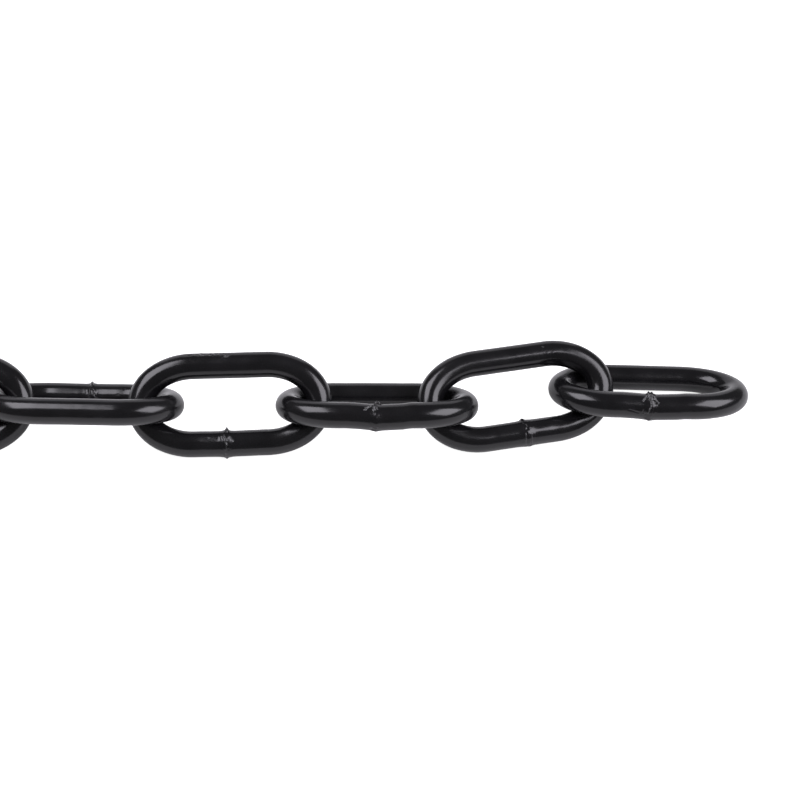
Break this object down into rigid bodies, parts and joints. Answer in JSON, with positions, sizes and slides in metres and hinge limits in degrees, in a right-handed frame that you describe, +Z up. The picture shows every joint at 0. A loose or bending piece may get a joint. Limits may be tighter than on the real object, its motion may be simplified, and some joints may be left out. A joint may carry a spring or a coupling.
{
  "type": "length of welded steel chain",
  "caption": "Straight length of welded steel chain with long oval links, painted gloss black, that bends at every link and takes a hook or shackle at either end.",
  "frame": {"origin": "on the floor under the middle of the chain", "axes": "+X along the chain towards link_01, +Y to the back, +Z up"},
  "size_m": [0.9992, 0.025, 0.017],
  "materials": {
    "black_gloss_paint": "gloss black paint over steel wire"
  },
  "bodies": {
    "link_01": {"link_01": "black_gloss_paint"},
    "link_02": {"link_02": "black_gloss_paint"},
    "link_03": {"link_03": "black_gloss_paint"},
    "link_04": {"link_04": "black_gloss_paint"},
    "link_05": {"link_05": "black_gloss_paint"},
    "link_06": {"link_06": "black_gloss_paint"},
    "link_07": {"link_07": "black_gloss_paint"},
    "link_08": {"link_08": "black_gloss_paint"},
    "link_09": {"link_09": "black_gloss_paint"},
    "link_10": {"link_10": "black_gloss_paint"},
    "link_11": {"link_11": "black_gloss_paint"},
    "link_12": {"link_12": "black_gloss_paint"},
    "link_13": {"link_13": "black_gloss_paint"},
    "link_14": {"link_14": "black_gloss_paint"},
    "link_15": {"link_15": "black_gloss_paint"},
    "link_16": {"link_16": "black_gloss_paint"},
    "link_17": {"link_17": "black_gloss_paint"},
    "link_18": {"link_18": "black_gloss_paint"},
    "link_19": {"link_19": "black_gloss_paint"},
    "link_20": {"link_20": "black_gloss_paint"},
    "link_21": {"link_21": "black_gloss_paint"},
    "link_22": {"link_22": "black_gloss_paint"},
    "link_23": {"link_23": "black_gloss_paint"},
    "link_24": {"link_24": "black_gloss_paint"},
    "link_25": {"link_25": "black_gloss_paint"},
    "link_26": {"link_26": "black_gloss_paint"},
    "link_27": {"link_27": "black_gloss_paint"},
    "link_28": {"link_28": "black_gloss_paint"},
    "link_29": {"link_29": "black_gloss_paint"}
  },
  "joints": [
    {"name": "link_02_swing", "type": "hinge", "parent": "link_01", "child": "link_02", "pos_m": [0.45588, 0.0017, 0.00743], "axis": [-0.075, 0.502, -0.8616], "range_deg": [-90, 90]},
    {"name": "link_03_swing", "type": "hinge", "parent": "link_02", "child": "link_03", "pos_m": [0.42461, -0.00212, 0.00793], "axis": [0.023, 0.5731, 0.8192], "range_deg": [-90, 90]},
    {"name": "link_04_swing", "type": "hinge", "parent": "link_03", "child": "link_04", "pos_m": [0.39185, -0.00098, 0.00805], "axis": [0, -0.6018, 0.7986], "range_deg": [-90, 90]},
    {"name": "link_05_swing", "type": "hinge", "parent": "link_04", "child": "link_05", "pos_m": [0.35795, -0.00014, 0.00868], "axis": [-0.0376, -0.6145, -0.788], "range_deg": [-90, 90]},
    {"name": "link_06_swing", "type": "hinge", "parent": "link_05", "child": "link_06", "pos_m": [0.32397, 0.0018, 0.0088], "axis": [0.0198, 0.6153, -0.788], "range_deg": [-90, 90]},
    {"name": "link_07_swing", "type": "hinge", "parent": "link_06", "child": "link_07", "pos_m": [0.28975, 0.00232, 0.00835], "axis": [-0.0144, 0.6155, 0.788], "range_deg": [-90, 90]},
    {"name": "link_08_swing", "type": "hinge", "parent": "link_07", "child": "link_08", "pos_m": [0.25555, 0.00182, 0.00812], "axis": [0.0105, -0.6156, 0.788], "range_deg": [-90, 90]},
    {"name": "link_09_swing", "type": "hinge", "parent": "link_08", "child": "link_09", "pos_m": [0.22134, 0.00153, 0.00834], "axis": [-0.0211, -0.6153, -0.788], "range_deg": [-90, 90]},
    {"name": "link_10_swing", "type": "hinge", "parent": "link_09", "child": "link_10", "pos_m": [0.18715, 0.00222, 0.00873], "axis": [-0.0032, 0.6157, -0.788], "range_deg": [-90, 90]},
    {"name": "link_11_swing", "type": "hinge", "parent": "link_10", "child": "link_11", "pos_m": [0.15294, 0.00199, 0.00869], "axis": [-0.0191, 0.6154, 0.788], "range_deg": [-90, 90]},
    {"name": "link_12_swing", "type": "hinge", "parent": "link_11", "child": "link_12", "pos_m": [0.11874, 0.00145, 0.00828], "axis": [-0.0155, -0.6155, 0.788], "range_deg": [-90, 90]},
    {"name": "link_13_swing", "type": "hinge", "parent": "link_12", "child": "link_13", "pos_m": [0.08455, 0.0021, 0.00811], "axis": [-0.009, -0.6156, -0.788], "range_deg": [-90, 90]},
    {"name": "link_14_swing", "type": "hinge", "parent": "link_13", "child": "link_14", "pos_m": [0.05034, 0.00222, 0.00841], "axis": [-0.0214, 0.6153, -0.788], "range_deg": [-90, 90]},
    {"name": "link_15_swing", "type": "hinge", "parent": "link_14", "child": "link_15", "pos_m": [0.01614, 0.00142, 0.00872], "axis": [0.0048, 0.6156, 0.788], "range_deg": [-90, 90]},
    {"name": "link_16_swing", "type": "hinge", "parent": "link_15", "child": "link_16", "pos_m": [-0.01806, 0.00182, 0.00861], "axis": [-0.0183, -0.6154, 0.788], "range_deg": [-90, 90]},
    {"name": "link_17_swing", "type": "hinge", "parent": "link_16", "child": "link_17", "pos_m": [-0.05226, 0.00243, 0.0083], "axis": [0.0166, -0.6154, -0.788], "range_deg": [-90, 90]},
    {"name": "link_18_swing", "type": "hinge", "parent": "link_17", "child": "link_18", "pos_m": [-0.08646, 0.00164, 0.0082], "axis": [-0.0075, 0.6156, -0.788], "range_deg": [-90, 90]},
    {"name": "link_19_swing", "type": "hinge", "parent": "link_18", "child": "link_19", "pos_m": [-0.12065, 0.00147, 0.00839], "axis": [0.0215, 0.6153, 0.788], "range_deg": [-90, 90]},
    {"name": "link_20_swing", "type": "hinge", "parent": "link_19", "child": "link_20", "pos_m": [-0.15485, 0.00237, 0.00862], "axis": [0.0064, -0.6156, 0.788], "range_deg": [-90, 90]},
    {"name": "link_21_swing", "type": "hinge", "parent": "link_20", "child": "link_21", "pos_m": [-0.18906, 0.00203, 0.00863], "axis": [0.0174, -0.6154, -0.788], "range_deg": [-90, 90]},
    {"name": "link_22_swing", "type": "hinge", "parent": "link_21", "child": "link_22", "pos_m": [-0.22326, 0.00135, 0.00841], "axis": [0.0176, 0.6154, -0.788], "range_deg": [-90, 90]},
    {"name": "link_23_swing", "type": "hinge", "parent": "link_22", "child": "link_23", "pos_m": [-0.25744, 0.00206, 0.0082], "axis": [0.006, 0.6156, 0.788], "range_deg": [-90, 90]},
    {"name": "link_24_swing", "type": "hinge", "parent": "link_23", "child": "link_24", "pos_m": [-0.29166, 0.00228, 0.00828], "axis": [0.0215, -0.6153, 0.788], "range_deg": [-90, 90]},
    {"name": "link_25_swing", "type": "hinge", "parent": "link_24", "child": "link_25", "pos_m": [-0.32585, 0.0015, 0.0086], "axis": [-0.0079, -0.6156, -0.788], "range_deg": [-90, 90]},
    {"name": "link_26_swing", "type": "hinge", "parent": "link_25", "child": "link_26", "pos_m": [-0.36005, 0.00178, 0.00872], "axis": [0.0164, 0.6154, -0.788], "range_deg": [-90, 90]},
    {"name": "link_27_swing", "type": "hinge", "parent": "link_26", "child": "link_27", "pos_m": [-0.39426, 0.00231, 0.00843], "axis": [-0.0185, 0.6154, 0.788], "range_deg": [-90, 90]},
    {"name": "link_28_swing", "type": "hinge", "parent": "link_27", "child": "link_28", "pos_m": [-0.42845, 0.00169, 0.00812], "axis": [0.0044, -0.6156, 0.788], "range_deg": [-90, 90]},
    {"name": "link_29_swing", "type": "hinge", "parent": "link_28", "child": "link_29", "pos_m": [-0.46266, 0.00163, 0.00826], "axis": [-0.0213, -0.6153, -0.788], "range_deg": [-90, 90]}
  ]
}
